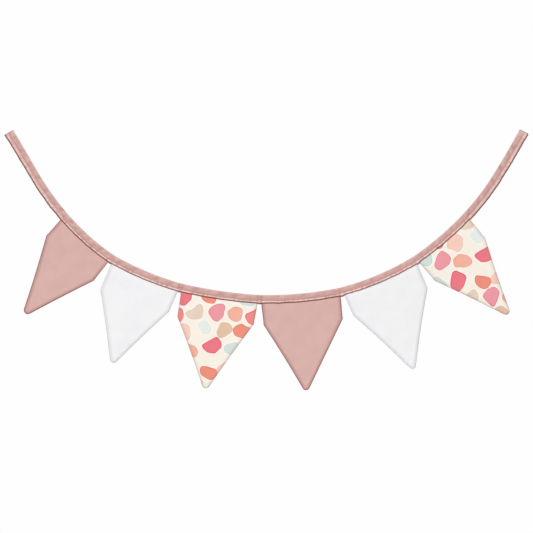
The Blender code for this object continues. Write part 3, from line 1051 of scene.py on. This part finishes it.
def panel_surface(flag, number, side):
    """Points of a panel's outer face, its cloth coordinates, and its distances from and along the seam."""
    places, s, below, sideways, drop, outline, half_width = panel_grid(flag)
    inside, along = seam_distance(places, outline)
    out = panel_out(number, side, inside, along, below, sideways, drop)
    fall = below / (flag["drop"] * MM)
    swing = flag["swing"] * MM * fall**1.5
    curl = flag["curl"] * MM * (sideways / half_width) ** 2 * smooth(fall * 2)
    ripple = WAVE * np.sin(2 * math.pi * sideways / WAVE_LENGTH + flag["wave_start"]) * smooth(fall * 2)
    y = middle_at(s) - swing - curl - ripple + side * out
    points = np.stack([places[..., 0], y, places[..., 1]], axis=-1)
    return points, np.stack([sideways, drop], axis=-1), {"from_seam": inside, "along_seam": along}


# %% [markdown]
# The printed flags carry a scatter of rounded pebbles in pinks, corals, tans and mint on a cream
# ground. Screen printing lays each colour as a flat patch with a slightly heavier rim, and leaves a
# hair of bare cloth round it. One small repeat is charted below, and every panel is cut from
# it at its own place and turn. For each mesh point the chart gives a signed distance to the nearest
# pebble's edge, which the finish turns into a clean edge between the points.

# %% The chart of the print
INKS = {
    "coral": (0.865, 0.285, 0.205),
    "cerise": (0.850, 0.190, 0.240),
    "rosy": (0.855, 0.330, 0.375),
    "brick": (0.865, 0.262, 0.262),
    "peach": (0.940, 0.620, 0.520),
    "salmon": (0.905, 0.455, 0.350),
    "sand": (0.800, 0.650, 0.520),
    "tan": (0.780, 0.545, 0.390),
    "mint": (0.650, 0.755, 0.715),
    "pale_mint": (0.790, 0.855, 0.800),
}
REPEAT = np.array([182.0, 172.0]) * MM
PEBBLE_COLUMNS = ("ink", "across", "down", "length", "width", "turn", "bend", "egg")
PEBBLES = (
    ("coral", 16, 18, 40, 27, 20, 0.25, 0.20),
    ("peach", 58, 11, 47, 31, -15, -0.30, 0.15),
    ("mint", 102, 23, 44, 30, 35, 0.10, -0.20),
    ("cerise", 143, 14, 35, 45, 10, 0.25, -0.10),
    ("sand", 168, 55, 44, 28, -30, 0.45, 0.10),
    ("rosy", 34, 53, 35, 41, 25, -0.20, 0.25),
    ("salmon", 76, 57, 33, 33, 0, 0.10, 0.20),
    ("brick", 122, 62, 45, 32, -25, 0.30, -0.15),
    ("pale_mint", 8, 88, 34, 24, 50, 0.10, 0.10),
    ("tan", 52, 94, 39, 29, -40, -0.25, 0.20),
    ("coral", 94, 97, 43, 30, 10, 0.15, -0.10),
    ("peach", 140, 101, 36, 39, 15, -0.35, 0.10),
    ("cerise", 25, 129, 44, 31, -20, 0.35, 0.15),
    ("mint", 69, 136, 38, 28, -10, 0.15, 0.20),
    ("rosy", 111, 139, 33, 43, 30, 0.30, -0.20),
    ("salmon", 155, 143, 42, 29, 5, -0.20, -0.15),
)
PEBBLE_SQUARENESS = 2.35
PEBBLE_WOBBLE = 1.2 * MM  # no pebble is quite regular
WOBBLE_LENGTHS = (31 * MM, 27 * MM)
# Where each printed panel is cut from the cloth: across and down in mm, and turned in degrees
CUTS = {
    ("flag_3", -1): (40, 22, 8),
    ("flag_3", 1): (96, 71, -172),
    ("flag_6", -1): (118, 96, -38),
    ("flag_6", 1): (12, 60, 140),
}


def turned_axes(x, y, degrees):
    """(x, y) read in axes that are turned by some degrees."""
    cos, sin = math.cos(math.radians(degrees)), math.sin(math.radians(degrees))
    return x * cos + y * sin, y * cos - x * sin


def pebble_chart(cloth_uv, cut):
    """Signed distance to the nearest pebble's edge, less than 0 within, and that pebble's ink.

    A pebble is the set of points where |x/a| and |y/b|, each raised to the squareness, add up to less
    than 1. Bending adds the square of x to y first, and an egg is narrower towards one end.
    """
    x, y = turned_axes(cloth_uv[..., 0], cloth_uv[..., 1], -cut[2])
    x, y = x + cut[0] * MM, y + cut[1] * MM
    wobbles = [PEBBLE_WOBBLE * unevenness(x, y, length, 5 + k) for k, length in enumerate(WOBBLE_LENGTHS)]
    x, y = x + wobbles[0], y + wobbles[1]
    nearest = np.full(x.shape, np.inf)
    ink = np.zeros(x.shape + (4,))
    for row in PEBBLES:
        pebble = dict(zip(PEBBLE_COLUMNS, row))
        dx = (x - pebble["across"] * MM + REPEAT[0] / 2) % REPEAT[0] - REPEAT[0] / 2
        dy = (y - pebble["down"] * MM + REPEAT[1] / 2) % REPEAT[1] - REPEAT[1] / 2
        u, v = turned_axes(dx, dy, pebble["turn"])
        u, v = u / (pebble["length"] * MM / 2), v / (pebble["width"] * MM / 2)
        v = (v + pebble["bend"] * (u**2 - 0.4)) / (1 + pebble["egg"] * np.clip(u, -1.5, 1.5))
        size = (np.abs(u) ** PEBBLE_SQUARENESS + np.abs(v) ** PEBBLE_SQUARENESS) ** (1 / PEBBLE_SQUARENESS)
        distance = np.hypot(dx, dy) * (1 - 1 / np.maximum(size, 1e-3))
        nearer = distance < nearest
        nearest = np.where(nearer, distance, nearest)
        ink = np.where(nearer[..., None], np.array([*INKS[pebble["ink"]], 1.0]), ink)
    return nearest, ink


# %% [markdown]
# The flags' three finishes share what happens at a seam: shade is painted on the very edge, where the
# cloth turns over, and the band of the seam allowance is painted faintly darker, because light passes
# through one layer of cotton and not through three.

# %% Finishes of the flags
# mm in from the seam, and how much of the painted shade colour shows there
SEAM_SHADES = ((0.0, 1.0), (1.5, 1.0), (2.5, 0.52), (3.8, 0.36), (5.8, 0.28), (7.2, 0.10), (9.0, 0.0))
# white cotton shows its allowance more
WHITE_SHADES = ((0.0, 1.0), (1.3, 0.95), (2.4, 0.66), (3.8, 0.60), (5.8, 0.48), (7.0, 0.12), (9.0, 0.0))
SEAM_REACH = 10.0 * MM
SEAM_STITCH = 2.6 * MM
RIPPLE_DEPTH = 0.06 * MM


def seam_shading(tree, colour, shade_colour, strength, shades=SEAM_SHADES):
    """Blends a painted shade colour in at the rolled edge and, faintly, over the seam allowance."""
    reach = math_node(tree, "DIVIDE", mask_socket(tree, "from_seam"), SEAM_REACH)
    ramp = tree.nodes.new("ShaderNodeValToRGB")
    stops = ramp.color_ramp.elements
    while len(stops) < len(shades):
        stops.new(0.5)
    for stop, (distance, shade) in zip(stops, shades):
        stop.position = distance * MM / SEAM_REACH
        stop.color = (shade, shade, shade, 1.0)
    tree.links.new(reach, ramp.inputs[0])
    return blend(tree, math_node(tree, "MULTIPLY", ramp.outputs[0], strength), colour, shade_colour)


def seam_ripples(tree):
    """Fine pulls square to the seam, one to a stitch, fading out past the allowance."""
    along = math_node(tree, "MULTIPLY", mask_socket(tree, "along_seam"), 2 * math.pi / SEAM_STITCH)
    wave = math_node(tree, "ABSOLUTE", math_node(tree, "SINE", along))
    near = math_node(tree, "SUBTRACT", 1.0, fade(tree, mask_socket(tree, "from_seam"), 1.0 * MM, 4.5 * MM))
    return math_node(tree, "MULTIPLY", wave, near)


def finish_flag(tree, shader, colour, uv, weave, clouds, streaks, slub_depth):
    """What every flag's finish ends with: clouds and streaks, weave, and the pulls along its seam."""
    finish_colour(tree, shader, colour, uv, weave, clouds, streaks)
    heights = weave_heights(weave, slub_depth) + [(seam_ripples(tree), RIPPLE_DEPTH)]
    finish_bump(tree, shader, heights)


def make_plain_finish(name, colour, shade_colour, strength, clouds, shades):
    """One even colour, with painted shade at the seam."""
    material, tree, shader, uv, weave = start_finish(name, roughness=0.85, sheen=0.15)
    plain = tree.nodes.new("ShaderNodeRGB").outputs[0]
    plain.default_value = (*colour, 1.0)
    shaded = seam_shading(tree, plain, shade_colour, strength, shades)
    finish_flag(tree, shader, shaded, uv, weave, clouds, streaks=0.06, slub_depth=0.05 * MM)
    return material


GROUND = (0.955, 0.880, 0.785)
BARE = (0.975, 0.940, 0.880)
# colour of the painted shade at the printed flags' seams
PRINT_SEAM_SHADE = (0.40, 0.24, 0.18)
# colour, painted shade colour at the seam, how strongly that shows, clouds, shades
PLAIN_CLOTHS = {
    "rose": ((0.690, 0.440, 0.405), (0.290, 0.070, 0.050), 0.76, 0.15, SEAM_SHADES),
    "white": ((0.893, 0.893, 0.908), (0.540, 0.550, 0.585), 0.48, 0.04, WHITE_SHADES),
}


def make_print_finish():
    """Ink inside a pebble's edge with a heavier rim, bare cloth just outside it, then the cream ground."""
    material, tree, shader, uv, weave = start_finish("print_cotton", roughness=0.82, sheen=0.12)
    edge = mask_socket(tree, "pebble_edge")
    ink = mask_socket(tree, "pebble_ink", "Color")
    heavy = new_node(tree, "ShaderNodeHueSaturation", Saturation=1.22, Value=0.97, Color=ink)
    rimmed = blend(tree, fade(tree, edge, -2.6 * MM, -0.8 * MM), ink, heavy.outputs[0])
    ground = blend(tree, fade(tree, edge, 1.6 * MM, 3.0 * MM), BARE, GROUND)
    printed = blend(tree, fade(tree, edge, -0.35 * MM, 0.35 * MM), rimmed, ground)
    shaded = seam_shading(tree, printed, PRINT_SEAM_SHADE, strength=0.42)
    finish_flag(tree, shader, shaded, uv, weave, clouds=0.05, streaks=0.05, slub_depth=0.04 * MM)
    return material


flag_finishes = {cloth: make_plain_finish(f"{cloth}_cotton", *row) for cloth, row in PLAIN_CLOTHS.items()}
flag_finishes["print"] = make_print_finish()
print("finishes of the flags:", ", ".join(flag_finishes))

# %% [markdown]
# Now the twelve panels can be made. Each grid is the outer face of its panel, and Solidify gives the
# cloth its thickness inwards. A panel is a sheet of cotton that hangs from the tape.

# %% The panels
PANEL_CLOTH = 0.4 * MM
for number, row in enumerate(FLAGS):
    flag = dict(zip(FLAG_COLUMNS, row))
    for title, side in (("front", -1), ("back", 1)):
        points, cloth_uv, masks = panel_surface(flag, number, side)
        if flag["cloth"] == "print":
            edge, ink = pebble_chart(cloth_uv * np.array([-side, 1.0]), CUTS[flag["name"], side])
            masks["pebble_edge"], masks["pebble_ink"] = edge, ink
        piece = add_grid(f"{flag['name']}_{title}_panel", points, cloth_uv, masks,
                         flag_finishes[flag["cloth"]], side > 0)
        solid = piece.modifiers.new("thickness", "SOLIDIFY")
        solid.thickness = PANEL_CLOTH
        solid.offset = -1.0
        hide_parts(f"{flag['name']}_{title}")

# %% [markdown]
# ## The studio
# The picture is a plain catalogue shot: the bunting hangs straight in front of a long lens, evenly lit
# from above and in front on white. A wide soft light high on the left is the key, another on the right
# fills, and the white surroundings do the rest. A third light stands behind, for the side that the
# picture does not show. The floor lies well below the picture's lower edge.

# %% Surroundings and floor
FLOOR_Z = -1.25
FLOOR_HALF = 1.25
FLOOR_COLOUR = (0.82, 0.81, 0.80, 1.0)
WHITE_SEEN = 0.99
WHITE_LIT = 0.248


def make_surroundings(seen, lit):
    """White surroundings: one strength for what the lens sees, another for the light that they give."""
    world = bpy.data.worlds.new("studio")
    world.use_nodes = True
    tree = world.node_tree
    shown = tree.nodes["Background"]
    shown.inputs["Color"].default_value = (seen, seen, seen, 1.0)
    light = new_node(tree, "ShaderNodeBackground", Color=(1.0, 1.0, 1.0, 1.0), Strength=lit)
    is_seen = tree.nodes.new("ShaderNodeLightPath").outputs["Is Camera Ray"]
    mix = tree.nodes.new("ShaderNodeMixShader")
    for socket, value in zip(mix.inputs, (is_seen, light.outputs[0], shown.outputs[0])):
        set_socket(tree, socket, value)
    tree.links.new(mix.outputs[0], tree.nodes["World Output"].inputs["Surface"])
    bpy.context.scene.world = world


make_surroundings(WHITE_SEEN, WHITE_LIT)
middle_x = (solid_box[0][0] + solid_box[1][0]) / 2
floor_mesh = bpy.data.meshes.new("floor")
square = np.array([(-1, -1), (1, -1), (1, 1), (-1, 1)]) * FLOOR_HALF
floor_mesh.from_pydata([(middle_x + x, y, FLOOR_Z) for x, y in square.tolist()], [], [(0, 1, 2, 3)])
floor_material = bpy.data.materials.new("pale_floor")
floor_material.use_nodes = True
floor_shader = floor_material.node_tree.nodes["Principled BSDF"]
floor_shader.inputs["Base Color"].default_value = FLOOR_COLOUR
floor_mesh.materials.append(floor_material)
floor = add_object("floor", floor_mesh)
floor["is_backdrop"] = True

# %% Lights
# name, how far right of the bunting's middle, y, z, side of the square, watts
LIGHTS = (
    ("key", -2.3, -4.9, 4.0, 2.9, 338.0),
    ("fill", 2.5, -4.4, 0.2, 3.0, 55.0),
    ("back", 1.2, 3.4, 3.2, 2.4, 170.0),
)


def add_soft_light(name, place, target, size, watts):
    """A square soft light that faces its target."""
    lamp = bpy.data.lights.new(name, "AREA")
    lamp.shape = "SQUARE"
    lamp.size = size
    lamp.energy = watts
    holder = add_object(name, lamp)
    holder.location = place
    way = np.array(target) - np.array(place)
    yaw = math.atan2(-way[0], way[1])
    pitch = math.atan2(way[2], math.hypot(way[0], way[1]))
    holder.rotation_euler = (math.pi / 2 + pitch, 0.0, yaw)


bunting_middle = (middle_x, 0.0, -0.28)
for name, right, y, z, size, watts in LIGHTS:
    add_soft_light(name, (middle_x + right, y, z), bunting_middle, size, watts)

# %% [markdown]
# The lens is long and stands square to the wall, as the outline shows: both ends of the tape are the
# same width, and no flag shows its side. The whole picture spans 1.21 m at the bunting.

# %% The lens
LENS = 200.0
SENSOR = 36.0
PICTURE_SPAN = 1.2115
PICTURE_MIDDLE = (0.57640, -0.29753)
MEAN_PLANE_Y = -0.004
camera = bpy.data.cameras.new("lens")
camera.lens = LENS
camera.sensor_width = SENSOR
camera.clip_end = 50.0
viewer = add_object("lens", camera)
viewer.location = (PICTURE_MIDDLE[0], MEAN_PLANE_Y - PICTURE_SPAN * LENS / SENSOR, PICTURE_MIDDLE[1])
viewer.rotation_euler = (math.pi / 2, 0.0, 0.0)
bpy.context.scene.camera = viewer
bpy.context.scene.view_settings.view_transform = "Standard"
print("lens stands at", [round(x, 3) for x in viewer.location])

# %% Measure
shown_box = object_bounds()
grown = [round((b - a) * 1000, 1) for pair in zip(solid_box, shown_box) for a, b in zip(*pair)]
print("grown by, mm:", grown)
